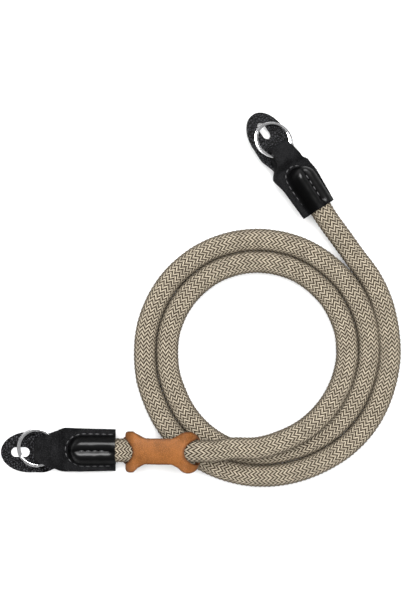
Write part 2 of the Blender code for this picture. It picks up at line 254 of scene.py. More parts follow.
# The rope's mesh has four rows to a float, and a float is two rows ahead at one edge of its column.
# The edge between two columns lies under the rope's surface by a share of the relief
ROWS_PER_FLOAT = 4
LEAN_ROWS = 2
EDGE_DEPTH = 0.35
# The rope lies a little wider than high, most of all where it leaves the left end: metres along it
FLAT_WIDTH = 1.012
FLAT_HEIGHT = 0.945
MOUTH_WIDER = 0.068
MOUTH_LOWER = 0.01
MOUTH_FADE = (0.022, 0.045)
HIDDEN_ROPE = (END_LENGTH - ROPE_START) * MM

# Radius of the leather's cut edges, the distance at which corners become one, and how deep the
# shading of the yarn and the thread goes, in metres
CUT_EDGE = 0.0003
PAD_EDGE = 0.00035
MERGE = 0.000002
ROPE_MERGE = 0.00001
YARN_BUMP = 0.00045
THREAD_BUMP = 0.0001

# Stage, in metres
FLOOR_HALF = 3.0
CAMERA_X = 0.0152
CAMERA_Y = -0.0035
SOFTBOX_WIDTH = 1.4
SOFTBOX_PLACE = (0.05, 0.2, 1.4)
CARD_WIDTH = 0.78
CARD_PLACE = (-0.15, 0.7, 0.85)


class RopeSizes(bpy.types.PropertyGroup):
    """The braided rope"""

    diameter: FloatProperty(
        name="Diameter", description="Over the braid",
        default=0.01015, unit="LENGTH",
    )
    columns: IntProperty(
        name="Columns", description="Columns of floats round the rope",
        default=22, min=8,
    )
    pitch: FloatProperty(
        name="Pitch", description="From one float to the next along the rope",
        default=0.0019, unit="LENGTH",
    )
    relief: FloatProperty(
        name="Relief", description="How far a float stands out",
        default=0.00020, unit="LENGTH",
    )
    squeeze: FloatProperty(
        name="Squeeze", description="Share of its thickness inside a leather end",
        default=0.86,
    )
    yarn: FloatVectorProperty(
        name="Yarn", description="Colour of the yarn",
        subtype="COLOR", default=(0.42, 0.362, 0.276),
    )
    # Painted shade in the crevices between the floats and at their tucked ends
    gap: FloatVectorProperty(
        name="Gap", description="Colour between the floats",
        subtype="COLOR", default=(0.024, 0.016, 0.008),
    )


class LeatherSizes(bpy.types.PropertyGroup):
    """The leather ends, their pads and their stitches"""

    black: FloatVectorProperty(
        name="Ends", description="Smooth black leather",
        subtype="COLOR", default=(0.0085, 0.0085, 0.009),
    )
    grained: FloatVectorProperty(
        name="Pads", description="Grained black leather",
        subtype="COLOR", default=(0.006, 0.006, 0.0065),
    )
    thread: FloatVectorProperty(
        name="Thread", description="Sewing thread",
        subtype="COLOR", default=(0.03, 0.03, 0.031),
    )
    stitch_pitch: FloatProperty(
        name="Stitch pitch", description="From stitch to stitch",
        default=0.003, unit="LENGTH",
    )
    stitch_length: FloatProperty(
        name="Stitch", description="Length of one stitch",
        default=0.0025, unit="LENGTH",
    )
    stitch_width: FloatProperty(
        name="Thread thickness", description="Across one stitch",
        default=0.0006, unit="LENGTH",
    )


class RingSizes(bpy.types.PropertyGroup):
    """The split rings"""

    diameter: FloatProperty(
        name="Diameter", description="Over the wire",
        default=0.0175, unit="LENGTH",
    )
    wire_width: FloatProperty(
        name="Wire width", description="Across the flat wire",
        default=0.00115, unit="LENGTH",
    )
    wire_height: FloatProperty(
        name="Wire height", description="Height of one turn",
        default=0.0009, unit="LENGTH",
    )
    tilt: FloatProperty(name="Tilt", description="Leaning on the pad, in degrees", default=6.9)
    wire_round: FloatProperty(
        name="Rounding", description="Of the wire's corners",
        default=0.0002, unit="LENGTH",
    )
    turn_gap: FloatProperty(
        name="Turn gap", description="Between the two turns",
        default=0.00006, unit="LENGTH",
    )
    beside: FloatProperty(
        name="Beside", description="How far one turn lies beside the other",
        default=0.0006, unit="LENGTH",
    )
    steel: FloatVectorProperty(
        name="Steel", description="Polished steel",
        subtype="COLOR", default=(0.76, 0.76, 0.77),
    )


class SliderSizes(bpy.types.PropertyGroup):
    """The slider"""

    waist: FloatProperty(
        name="Waist", description="Width over the rope",
        default=0.0112, unit="LENGTH",
    )
    width: FloatProperty(
        name="Lobes", description="Width of the ends",
        default=0.0185, unit="LENGTH",
    )
    thickness: FloatProperty(
        name="Thickness", description="Of the leather",
        default=0.0015, unit="LENGTH",
    )
    hole_length: FloatProperty(
        name="Hole length", description="Along the leather",
        default=0.0132, unit="LENGTH",
    )
    hole_width: FloatProperty(
        name="Hole width", description="Across the leather",
        default=0.0114, unit="LENGTH",
    )
    arch: FloatProperty(
        name="Arch", description="How far its sides bend down",
        default=0.0012, unit="LENGTH",
    )
    tan: FloatVectorProperty(
        name="Tan", description="Tan leather",
        subtype="COLOR", default=(0.226, 0.083, 0.0215),
    )
    # Also the colour of the painted shade on the slider's lobes
    edge: FloatVectorProperty(
        name="Edge", description="Burnished edge",
        subtype="COLOR", default=(0.06, 0.02, 0.007),
    )


class StageSizes(bpy.types.PropertyGroup):
    """The camera and the lights"""

    camera_height: FloatProperty(
        name="Camera height", description="Over the floor",
        default=1.0, unit="LENGTH",
    )
    lens: FloatProperty(name="Lens", description="Focal length in millimetres", default=131.8)
    softbox: FloatProperty(
        name="Softbox", description="Power in watts, over the strap",
        default=39.0,
    )
    shine: FloatProperty(
        name="Shine card", description="Power in watts, seen in reflections only",
        default=34.0,
    )
    room: FloatProperty(
        name="Room", description="Brightness of the studio round the strap",
        default=0.35,
    )


def ease(value, start, end):
    """0 before start, 1 after end and a smooth step between."""
    t = min(1.0, max(0.0, (value - start) / (end - start)))
    return t * t * (3.0 - 2.0 * t)


def through(rows, at):
    """The values of a table of rows at a first-column value, smoothly between its rows."""
    if at <= rows[0][0]:
        return rows[0][1:]
    for i in range(len(rows) - 1):
        a, b = rows[i], rows[i + 1]
        if at <= b[0]:
            before = rows[max(i - 1, 0)]
            after = rows[min(i + 2, len(rows) - 1)]
            t = (at - a[0]) / (b[0] - a[0])
            width = b[0] - a[0]
            found = []
            for k in range(1, len(a)):
                slope_a = (b[k] - before[k]) / (b[0] - before[0]) * width
                slope_b = (after[k] - a[k]) / (after[0] - a[0]) * width
                found.append(
                    (2 * t**3 - 3 * t**2 + 1) * a[k]
                    + (t**3 - 2 * t**2 + t) * slope_a
                    + (3 * t**2 - 2 * t**3) * b[k]
                    + (t**3 - t**2) * slope_b
                )
            return tuple(found)
    return rows[-1][1:]


def add_piece(name, bm, material, node, smooth=True):
    """A finished mesh as a piece that stands for a CAD node and rides on the part."""
    mesh = bpy.data.meshes.new(name)
    bm.to_mesh(mesh)
    bm.free()
    if smooth:
        mesh.shade_smooth()
    mesh.materials.append(material)
    made = bpy.data.objects.new(name, mesh)
    bpy.context.scene.collection.objects.link(made)
    if node:
        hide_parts(node)
    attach(made, "root")
    return made


def round_edges(piece, width, harden):
    """Rounds a piece's sharp edges."""
    bevel = piece.modifiers.new("edge", "BEVEL")
    bevel.width = width
    bevel.segments = 3
    bevel.limit_method = "ANGLE"
    bevel.angle_limit = math.radians(50)
    bevel.harden_normals = harden


def wall(piece, thickness, edge):
    """Gives a sheet its thickness and rounds its edges."""
    solid = piece.modifiers.new("wall", "SOLIDIFY")
    solid.thickness = thickness
    solid.offset = 0.0
    solid.use_even_offset = True
    round_edges(piece, edge, harden=True)


class Nodes:
    """Short ways to add and join the shader nodes of one tree."""

    def __init__(self, tree):
        self.tree = tree

    def add(self, kind, **values):
        made = self.tree.nodes.new(kind)
        for key, value in values.items():
            setattr(made, key, value)
        return made

    def join(self, source, target):
        self.tree.links.new(source, target)

    def fill(self, sockets, values):
        """Sets each socket to its value, or joins it to its source."""
        for socket, value in zip(sockets, values):
            if isinstance(value, (int, float, tuple)):
                socket.default_value = value
            else:
                self.join(value, socket)

    def math(self, operation, a, b=0.0):
        made = self.add("ShaderNodeMath", operation=operation)
        self.fill(made.inputs, (a, b))
        return made.outputs[0]

    def spread(self, value, low, high, out_low=0.0, out_high=1.0):
        """A smooth step from out_low to out_high as the value goes from low to high."""
        made = self.add("ShaderNodeMapRange", interpolation_type="SMOOTHSTEP")
        self.join(value, made.inputs["Value"])
        made.inputs["From Min"].default_value = low
        made.inputs["From Max"].default_value = high
        made.inputs["To Min"].default_value = out_low
        made.inputs["To Max"].default_value = out_high
        return made.outputs["Result"]

    def blend(self, factor, a, b):
        """A mix of two colours."""
        made = self.add("ShaderNodeMix", data_type="RGBA")
        self.fill([s for s in made.inputs if s.enabled], (factor, a, b))
        return next(s for s in made.outputs if s.enabled)

    def noise(self, vector, scale, detail=3.0, roughness=0.5):
        made = self.add("ShaderNodeTexNoise")
        self.join(vector, made.inputs["Vector"])
        made.inputs["Scale"].default_value = scale
        made.inputs["Detail"].default_value = detail
        made.inputs["Roughness"].default_value = roughness
        return made.outputs["Fac"]

    def bump(self, height, strength, distance):
        made = self.add("ShaderNodeBump")
        self.join(height, made.inputs["Height"])
        made.inputs["Strength"].default_value = strength
        made.inputs["Distance"].default_value = distance
        return made.outputs["Normal"]


def surface(name, roughness, metallic=0.0):
    """A material with its Principled shader and a helper for its tree."""
    material = bpy.data.materials.new(name)
    material.use_nodes = True
    shader = material.node_tree.nodes["Principled BSDF"]
    shader.inputs["Roughness"].default_value = roughness
    shader.inputs["Metallic"].default_value = metallic
    return material, shader, Nodes(material.node_tree)


def grain_group():
    """Leather grain as a node group: pebbles, pores and slow changes of tone."""
    found = bpy.data.node_groups.get("leather_grain")
    if found:
        return found
    tree = bpy.data.node_groups.new("leather_grain", "ShaderNodeTree")
    face = tree.interface
    face.new_socket("Vector", in_out="INPUT", socket_type="NodeSocketVector")
    size = face.new_socket("Pebbles", in_out="INPUT", socket_type="NodeSocketFloat")
    size.default_value = 1200.0
    face.new_socket("Height", in_out="OUTPUT", socket_type="NodeSocketFloat")
    face.new_socket("Tone", in_out="OUTPUT", socket_type="NodeSocketFloat")
    n = Nodes(tree)
    start = n.add("NodeGroupInput")
    end = n.add("NodeGroupOutput")
    cells = n.add("ShaderNodeTexVoronoi", feature="DISTANCE_TO_EDGE")
    n.join(start.outputs["Vector"], cells.inputs["Vector"])
    n.join(start.outputs["Pebbles"], cells.inputs["Scale"])
    pebbles = n.spread(cells.outputs["Distance"], 0.0, 0.35)
    fine = n.add("ShaderNodeTexNoise")
    n.join(start.outputs["Vector"], fine.inputs["Vector"])
    n.join(n.math("MULTIPLY", start.outputs["Pebbles"], 2.2), fine.inputs["Scale"])
    fine.inputs["Detail"].default_value = 3.0
    pores = n.math("MULTIPLY", fine.outputs["Fac"], 0.45)
    n.join(n.math("ADD", n.math("MULTIPLY", pebbles, 0.7), pores), end.inputs["Height"])
    n.join(n.noise(start.outputs["Vector"], 160.0, 4.0, 0.6), end.inputs["Tone"])
    return tree


def leather(name, colour, roughness, gloss, pebbles, depth, contrast, pebble_shading):
    """Leather whose tone changes slowly, and from pebble to pebble by the share given: painted highlight on
    the pebbles' tops and painted shade in the creases between them.
    """
    material, shader, n = surface(name, roughness)
    shader.inputs["Specular IOR Level"].default_value = gloss
    place = n.add("ShaderNodeTexCoord").outputs["Object"]
    grain = n.add("ShaderNodeGroup", node_tree=grain_group())
    n.join(place, grain.inputs["Vector"])
    grain.inputs["Pebbles"].default_value = pebbles
    light = tuple(min(1.0, c * (1 + contrast)) for c in colour)
    dark = tuple(c / (1 + contrast) for c in colour)
    # The slow tone changes at random. The pebbles add painted highlight on their tops and painted shade in
    # the creases between them
    slow = n.math("MULTIPLY", grain.outputs["Tone"], 1 - pebble_shading)
    tone = n.math("ADD", slow, n.math("MULTIPLY", grain.outputs["Height"], pebble_shading))
    shade = n.blend(n.spread(tone, 0.32, 0.68), (*dark, 1.0), (*light, 1.0))
    n.join(shade, shader.inputs["Base Color"])
    n.join(n.bump(grain.outputs["Height"], 1.0, depth), shader.inputs["Normal"])
    return material, shader, n, shade


# Rope

def route():
    """The rope's route. Its hidden ends run straight on inside the leather as far as ROPE_START."""
    points = [Vector(p) for p in LEAD_IN]
    for degrees, radius, height in COIL:
        turn = math.radians(degrees)
        x = COIL_CENTRE[0] + radius * math.cos(turn)
        y = COIL_CENTRE[1] + radius * math.sin(turn)
        points.append(Vector((x, y, height)))
    points.extend(Vector(p) for p in LEAD_OUT)
    for place, name, last, before in ((0, "left", 0, 1), (len(points), "upper", -1, -2)):
        run = (points[last] - points[before]).normalized()
        past = HIDDEN_ROPE - (points[last].xy - Vector(ENDS[name]["mouth"]) * MM).dot(run.xy)
        points.insert(place, points[last] + run * past)
    return points


def along(points, count):
    """count points, evenly spaced along one smooth curve through the points, and its length."""
    rows = [(0.0, *points[0])]
    for a, b in zip(points, points[1:]):
        rows.append((rows[-1][0] + (b - a).length, *b))
    total = rows[-1][0]
    return [Vector(through(rows, total * i / (count - 1))) for i in range(count)], total


def braid_material(sizes):
    """A herringbone: floats that slant one way in one column and the other way in the next."""
    material, shader, n = surface("rope_braid_yarn", 0.85)
    shader.inputs["Specular IOR Level"].default_value = 0.1
    # The map's first number counts the columns round the rope, and its second the floats along it
    uv = n.add("ShaderNodeUVMap", uv_map="braid").outputs["UV"]
    parts = n.add("ShaderNodeSeparateXYZ")
    n.join(uv, parts.inputs[0])
    across, down = parts.outputs[0], parts.outputs[1]
    column = n.math("FLOOR", across)
    odd = n.math("MODULO", column, 2.0)
    side = n.math("SUBTRACT", n.math("FRACT", across), 0.5)
    lean = n.math("MULTIPLY", n.math("SUBTRACT", 0.5, odd), 4 * LEAN_ROWS / ROWS_PER_FLOAT)
    slant = n.math("MULTIPLY", side, lean)
    step = n.math("ADD", down, slant)
    shifted = n.math("ADD", step, 0.5)
    float_number = n.math("FLOOR", shifted)
    over = n.math("ABSOLUTE", n.math("SUBTRACT", n.math("FRACT", shifted), 0.5))
    end = n.math("ABSOLUTE", side)
    body = n.spread(over, 0.15, 0.44, 1.0, 0.0)
    tuck = n.spread(end, 0.36, 0.50, 1.0, 0.65)
    crown = n.math("MULTIPLY", body, tuck)
    numbers = n.add("ShaderNodeCombineXYZ")
    n.join(column, numbers.inputs[0])
    n.join(float_number, numbers.inputs[1])
    chance = n.add("ShaderNodeTexWhiteNoise", noise_dimensions="2D")
    n.join(numbers.outputs[0], chance.inputs["Vector"])
    place = n.add("ShaderNodeTexCoord").outputs["Object"]
    slow = n.noise(place, 90.0, 2.0)
    fibre_place = n.add("ShaderNodeCombineXYZ")
    n.join(n.math("MULTIPLY", across, 2.0), fibre_place.inputs[0])
    n.join(n.math("MULTIPLY", step, 14.0), fibre_place.inputs[1])
    fibres = n.noise(fibre_place.outputs[0], 1.0, 2.0, 0.6)
    yarn = sizes.yarn
    light = tuple(min(1.0, c * 1.22) for c in yarn)
    worn = tuple(c * 0.80 for c in yarn)
    own = n.math("MULTIPLY", chance.outputs["Value"], 0.45)
    tone = n.math("ADD", own, n.math("MULTIPLY", fibres, 0.35))
    tone = n.math("ADD", tone, n.math("MULTIPLY", slow, 0.2))
    top = n.blend(n.spread(tone, 0.15, 0.85), (*worn, 1.0), (*light, 1.0))
    # Painted shade: the rope's sides are darkened towards the gap colour, where its turns touch and little
    # light gets in
    turn = n.math("COSINE", n.math("MULTIPLY", across, 2 * math.pi / sizes.columns))
    side_shade = n.spread(n.math("ABSOLUTE", turn), 0.70, 0.99)
    shaded = n.blend(n.math("MULTIPLY", side_shade, 0.66), top, (*sizes.gap, 1.0))
    # Painted shade: between the floats and towards their tucked ends the colour goes to the dark gap colour
    colour = n.blend(crown, (*sizes.gap, 1.0), shaded)
    n.join(colour, shader.inputs["Base Color"])
    height = n.math("ADD", n.math("MULTIPLY", crown, 0.8), n.math("MULTIPLY", fibres, 0.2))
    n.join(n.bump(height, 1.0, YARN_BUMP), shader.inputs["Normal"])
    return material


def flatten(reach):
    """The rope's width and height as shares of its diameter, from how far along the rope they are."""
    out = 1.0 - ease(reach, *MOUTH_FADE)
    return FLAT_WIDTH + MOUTH_WIDER * out, FLAT_HEIGHT - MOUTH_LOWER * out


class STRAP_OT_rope(bpy.types.Operator):
    """Make the braided rope"""

    bl_idname = "strap.rope"
    bl_label = "Rope"

    def execute(self, context):
        sizes = context.scene.strap_rope
        total = along(route(), 2)[1]
        rows = round(total / sizes.pitch) * ROWS_PER_FLOAT
        sides = sizes.columns * 2
        centres, total = along(route(), rows + 1)
        step = total / rows
        # The rope's middle, left and up at each row of its mesh
        frames = []
        for i, centre in enumerate(centres):
            ahead = centres[min(i + 1, rows)] - centres[max(i - 1, 0)]
            ahead.normalize()
            left = Vector((0, 0, 1)).cross(ahead)
            left.normalize()
            frames.append((centre, left, ahead.cross(left)))
        bm = bmesh.new()
        layer = bm.loops.layers.uv.new("braid")
        bmesh.ops.create_grid(bm, x_segments=rows, y_segments=sides, size=1.0)
        # The edges between two columns are shifted along the rope by turns, so that the floats slant
        places = {}
        for vert in bm.verts:
            row = round((vert.co.x + 1) / 2 * rows)
            side = round((vert.co.y + 1) / 2 * sides)
            edge = side % 2 == 0
            shift = 0
            if edge:
                shift = LEAN_ROWS if side % 4 == 0 else -LEAN_ROWS
            at = min(rows, max(0, row + shift))
            wave = -EDGE_DEPTH if edge else math.cos(2 * math.pi * row / ROWS_PER_FLOAT)
            reach = min(at, rows - at) * step
            girth = sizes.squeeze + (1 - sizes.squeeze) * ease(reach, HIDDEN_ROPE * 0.5, HIDDEN_ROPE)
            radius = (sizes.diameter / 2 - sizes.relief) * girth + sizes.relief * wave
            wide, high = flatten(at * step)
            turn = 2 * math.pi * side / sides
            centre, left, up = frames[at]
            out = left * (math.cos(turn) * radius * wide) + up * (math.sin(turn) * radius * high)
            places[vert.index] = (side / 2, (row + shift) / ROWS_PER_FLOAT)
            vert.co = centre + out
        bm.verts.index_update()
        for face in bm.faces:
            for loop in face.loops:
                loop[layer].uv = places[loop.vert.index]
        bmesh.ops.remove_doubles(bm, verts=bm.verts, dist=ROPE_MERGE)
        bmesh.ops.holes_fill(bm, edges=[e for e in bm.edges if e.is_boundary], sides=sides + 1)
        bmesh.ops.recalc_face_normals(bm, faces=bm.faces)
        piece = add_piece("braided_rope", bm, braid_material(sizes), "rope")
        return {"FINISHED"}


# Leather ends

def end_matrix(end):
    """Takes an end's own millimetres to the part's metres."""
    roll = math.radians(end["roll"])
    lift = PAD_WIDTH / 2 * abs(math.sin(roll)) - end["pad_shift"] * math.sin(roll)
    yaw = math.radians(end["yaw"])
    tip = Vector(end["mouth"]) - END_LENGTH * Vector((math.cos(yaw), math.sin(yaw)))
    place = Matrix.Translation(Vector((*tip, lift)) * MM)
    turn = Matrix.Rotation(yaw, 4, "Z") @ Matrix.Rotation(roll, 4, "X")
    return place @ turn @ Matrix.Scale(MM, 4)


def pad_half_width(x):
    """Half the pad's width: an oval tip, and a neck that narrows under the end."""
    if x < PAD_TIP_LENGTH:
        return PAD_WIDTH / 2 * math.sqrt(max(0.0, 1 - (1 - x / PAD_TIP_LENGTH) ** 2))
    narrow = ease(x, *PAD_NARROWS)
    return PAD_WIDTH / 2 * (1 - narrow) + PAD_NECK_WIDTH / 2 * narrow


def strip_half_width(x, end):
    """Half the folded strip's width: a narrow tab that widens to its shoulder."""
    fold = end["fold_at"]
    shoulder = end["shoulder_at"]
    if x < shoulder:
        share = through(end["taper"], (x - fold) / (shoulder - fold))[0]
        return (end["tab_width"] + (SHOULDER_WIDTH - end["tab_width"]) * share) / 2
    share = (x - shoulder) / (END_LENGTH - shoulder)
    return (SHOULDER_WIDTH + (end["mouth_width"] - SHOULDER_WIDTH) * share) / 2


def middle_height(x):
    """Height of the plane between the two layers where they are sewn together."""
    low = BACK_AT_PAD + LAYER_STEP / 2
    return low + (FLANGE_HEIGHT - low) * ease(x, BULGE_START - 0.5, BULGE_FULL + 1.0)


def bulge(x, y, power):
    """The rise over the rope as a share, 1 on its middle: straight sides and a round start."""
    radius = BULGE_WIDTH / 2
    t = math.hypot(min(0.0, x - BULGE_START - radius), y) / radius
    if t >= 1:
        return 0.0
    return (1 - t**power) ** 0.8


def front_height(x, y, end):
    """Height of the upper layer: the fold round the ring, the sewn flange and the bulge with its groove."""
    fold_top = BACK_AT_PAD + 2 * FOLD_RADIUS
    pocket = fold_top + POCKET_RISE * ease(x, end["fold_at"] + FOLD_RADIUS, POCKET_END)
    sewn = middle_height(x) + LAYER_STEP / 2
    height = pocket + (sewn - pocket) * ease(x, POCKET_END, SEAM_AT)
    rope_top = ROPE_HEIGHT + CORE_DIAMETER / 2 + GAP + STRIP_THICKNESS / 2
    height += (rope_top + GROOVE_DEPTH / 2 - height) * bulge(x, y, 4.2)
    groove = ease(x, BULGE_START, BULGE_FULL) * (1 - ease(x, END_LENGTH - GROOVE_FADE, END_LENGTH))
    return height - GROOVE_DEPTH * groove * math.exp(-((2 * y / GROOVE_WIDTH) ** 2))


def back_height(x, y):
    """Height of the lower layer, which sinks to the surface under the rope."""
    sewn = middle_height(x) - LAYER_STEP / 2
    deepest = STRIP_THICKNESS / 2 + FLOOR_GAP
    return sewn - (sewn - deepest) * bulge(x, y, 4)


def seam_path(end):
    """The U of the outer seam, in the end's own frame: x, y."""
    half = []
    x = END_LENGTH - SEAM_END
    while x > SEAM_ROUND_AT:
        half.append((x, strip_half_width(x, end) - SEAM_INSET))
        x -= 0.5
    wide = strip_half_width(SEAM_ROUND_AT, end) - SEAM_INSET
    for i in range(20):
        turn = math.pi / 2 * i / 20
        reach = (SEAM_ROUND_AT - SEAM_FRONT) * math.sin(turn)
        half.append((SEAM_ROUND_AT - reach, wide * math.cos(turn)))
    return half + [(SEAM_FRONT, 0.0)] + [(x, -y) for x, y in reversed(half)]


def press(x, y, end):
    """How far the leather is pressed in by the outer seam."""
    if x > SEAM_ROUND_AT:
        away = strip_half_width(x, end) - SEAM_INSET - abs(y)
    else:
        wide = strip_half_width(SEAM_ROUND_AT, end) - SEAM_INSET
        ahead = (SEAM_ROUND_AT - x) / (SEAM_ROUND_AT - SEAM_FRONT)
        away = (math.hypot(ahead, y / wide) - 1) * wide
    return SEAM_PRESS * math.exp(-((away / SEAM_PRESS_WIDTH) ** 2))


class STRAP_OT_ends(bpy.types.Operator):
    """Make the folded black leather strips"""

    bl_idname = "strap.ends"
    bl_label = "Leather ends"

    def execute(self, context):
        sizes = context.scene.strap_leather
        material, shader, n, shade = leather(
            "smooth_black_leather",
            sizes.black,
            roughness=0.5,
            gloss=0.015,
            pebbles=1200.0,
            depth=0.0001,
            contrast=0.8,
            pebble_shading=0.4,
        )
        # Painted shade: the leather over the rope's bulge is darkened. It is also rubbed shiny along its
        # two ridges
        rubbed = n.add("ShaderNodeAttribute", attribute_name="polish").outputs["Fac"]
        shaded_black = tuple(c * 0.2 for c in sizes.black)
        bulge_shade_mask = n.add("ShaderNodeAttribute", attribute_name="bulge_shade").outputs["Fac"]
        n.join(n.blend(bulge_shade_mask, shade, (*shaded_black, 1.0)), shader.inputs["Base Color"])
        shader.inputs["Coat Roughness"].default_value = 0.30
        n.join(n.math("MULTIPLY", rubbed, 0.42), shader.inputs["Coat Weight"])
        for name, end in ENDS.items():
            start = end["fold_at"] + STRIP_THICKNESS / 2 + FOLD_RADIUS
            # One strip: its lower layer, the fold round the ring and its upper layer
            steps, bends, columns = 84, 12, 60
            flat = [start + (END_LENGTH - start) * i / steps for i in range(steps + 1)]
            turns = [math.pi * i / bends for i in range(1, bends)]
            rows = [("back", x) for x in reversed(flat)]
            rows += [("fold", turn) for turn in turns]
            rows += [("front", x) for x in flat]
            bm = bmesh.new()
            bmesh.ops.create_grid(bm, x_segments=len(rows) - 1, y_segments=columns, size=1.0)
            polish = bm.verts.layers.float.new("polish")
            bulge_shade = bm.verts.layers.float.new("bulge_shade")
            move = end_matrix(end)
            for vert in bm.verts:
                layer, at = rows[round((vert.co.x + 1) / 2 * (len(rows) - 1))]
                share = round((vert.co.y + 1) / 2 * columns) / columns * 2 - 1
                if layer == "fold":
                    x = start - FOLD_RADIUS * math.sin(at)
                    y = share * strip_half_width(x, end)
                    z = BACK_AT_PAD + FOLD_RADIUS * (1 - math.cos(at))
                else:
                    x = at
                    y = share * strip_half_width(x, end)
                    z = front_height(x, y, end) if layer == "front" else back_height(x, y)
                if layer == "front":
                    uneven = noise.noise(Vector((x * 0.35, y * 0.5, 3.0))) * ease(x, start, start + 4)
                    z += UNEVEN * uneven - press(x, y, end)
                    ridge = math.exp(-(((abs(y) - RIDGE_AT) / RIDGE_WIDTH) ** 2))
                    vert[polish] = ridge * ease(bulge(x, y, 3), 0.1, 0.5)
                    # Painted shade over the bulge
                    vert[bulge_shade] = ease(bulge(x, y, 3), 0.0, 0.25)
                vert.co = move @ Vector((x, y, z))
            bmesh.ops.recalc_face_normals(bm, faces=bm.faces)
            piece = add_piece(name + "_leather_end", bm, material, name + "_cuff")
            wall(piece, STRIP_THICKNESS * MM, CUT_EDGE)
        return {"FINISHED"}


def sew(bm, path, end, move, sizes):
    """A row of stitches along a path on the upper layer."""
    lengths = [0.0]
    for a, b in zip(path, path[1:]):
        lengths.append(lengths[-1] + math.dist(a, b))
    rows = [(at, *p) for at, p in zip(lengths, path)]
    pitch = sizes.stitch_pitch / MM
    length = sizes.stitch_length / MM
    width = sizes.stitch_width / MM
    for i in range(int(lengths[-1] / pitch)):
        middle = (i + 0.5) * pitch
        spots = []
        for side in (-1, 1):
            x, y = through(rows, middle + side * length / 2)
            top = front_height(x, y, end) - press(x, y, end) + STRIP_THICKNESS / 2
            spots.append(Vector((x, y, top + STITCH_LIFT)))
        run = spots[1] - spots[0]
        centre = (spots[0] + spots[1]) / 2
        turn = run.to_track_quat("X", "Z").to_matrix().to_4x4()
        size = Matrix.Diagonal((run.length / 2, width / 2, width * STITCH_HEIGHT, 1.0))
        place = move @ Matrix.Translation(centre) @ turn @ size
        bmesh.ops.create_icosphere(bm, subdivisions=1, radius=1.0, matrix=place)


class STRAP_OT_stitches(bpy.types.Operator):
    """Sew the leather ends"""

    bl_idname = "strap.stitches"
    bl_label = "Stitches"

    def execute(self, context):
        sizes = context.scene.strap_leather
        material, shader, n = surface("sewing_thread", 0.4)
        place = n.add("ShaderNodeTexCoord").outputs["Object"]
        twist = n.noise(place, 2500.0, 2.0)
        light = tuple(c * 2.6 + 0.01 for c in sizes.thread)
        n.join(n.blend(twist, (*sizes.thread, 1.0), (*light, 1.0)), shader.inputs["Base Color"])
        n.join(n.bump(twist, 0.6, THREAD_BUMP), shader.inputs["Normal"])
        for name, end in ENDS.items():
            move = end_matrix(end)
            bm = bmesh.new()
            quarters = int((CENTRE_SEAM[1] - CENTRE_SEAM[0]) * 4)
            middle = [(CENTRE_SEAM[0] + 0.25 * i, 0.0) for i in range(quarters + 1)]
            for path in (seam_path(end), middle):
                sew(bm, path, end, move, sizes)
            bmesh.ops.recalc_face_normals(bm, faces=bm.faces)
            add_piece(name + "_stitches", bm, material, None)
        return {"FINISHED"}


def outline_mesh(outlines, thickness):
    """A flat sheet inside the first outline and outside the others, as a bmesh, in metres."""
    curve = bpy.data.curves.new("outline", "CURVE")
    curve.dimensions = "2D"
    curve.fill_mode = "BOTH"
    curve.extrude = thickness / 2
    for corners in outlines:
        spline = curve.splines.new("POLY")
        spline.points.add(len(corners) - 1)
        for point, (x, y) in zip(spline.points, corners):
            point.co = (x * MM, y * MM, 0.0, 1.0)
        spline.use_cyclic_u = True
    flat = bpy.data.objects.new("outline", curve)
    mesh = bpy.data.meshes.new_from_object(flat)
    bpy.data.objects.remove(flat)
    bpy.data.curves.remove(curve)
    bm = bmesh.new()
    bm.from_mesh(mesh)
    bpy.data.meshes.remove(mesh)
    bmesh.ops.remove_doubles(bm, verts=bm.verts, dist=MERGE)
    return bm


class STRAP_OT_pads(bpy.types.Operator):
    """Make the grained pads under the split rings"""

    bl_idname = "strap.pads"
    bl_label = "Pads"

    def execute(self, context):
        sizes = context.scene.strap_leather
        # Painted highlight and shade, strong here: the pebbles' tops are much lighter than the creases
        # between them
        material = leather(
            "grained_black_leather",
            sizes.grained,
            roughness=0.4,
            gloss=0.08,
            pebbles=900.0,
            depth=0.0006,
            contrast=6.0,
            pebble_shading=0.9,
        )[0]
        tip, neck = 36, 24
        stations = [PAD_TIP_LENGTH * (1 - math.cos(math.pi / 2 * i / tip)) for i in range(tip)]
        stations += [PAD_TIP_LENGTH + (PAD_LENGTH - PAD_TIP_LENGTH) * i / neck for i in range(neck + 1)]
        for name, end in ENDS.items():
            shift = end["pad_shift"]
            upper = [(x, shift + pad_half_width(x)) for x in stations]
            lower = [(x, shift - pad_half_width(x)) for x in reversed(stations[1:])]
            radius = SLOT_WIDTH / 2
            middles = (SLOT_START + radius, SLOT_START + SLOT_LENGTH - radius)
            slot = []
            for side, middle in ((1, middles[1]), (-1, middles[0])):
                for i in range(21):
                    turn = math.pi * (i / 20 - 0.5)
                    x = middle + side * radius * math.cos(turn)
                    slot.append((x, shift + side * radius * math.sin(turn)))
            bm = outline_mesh([upper + lower, slot], PAD_THICKNESS * MM)
            lift = Matrix.Translation((0, 0, PAD_THICKNESS / 2 * MM))
            move = end_matrix(end) @ Matrix.Scale(1 / MM, 4) @ lift
            bmesh.ops.transform(bm, matrix=move, verts=bm.verts)
            bmesh.ops.recalc_face_normals(bm, faces=bm.faces)
            node = name + "_pad"
            piece = add_piece(name + "_pad_leather", bm, material, node, smooth=False)
            round_edges(piece, PAD_EDGE, harden=False)
        return {"FINISHED"}


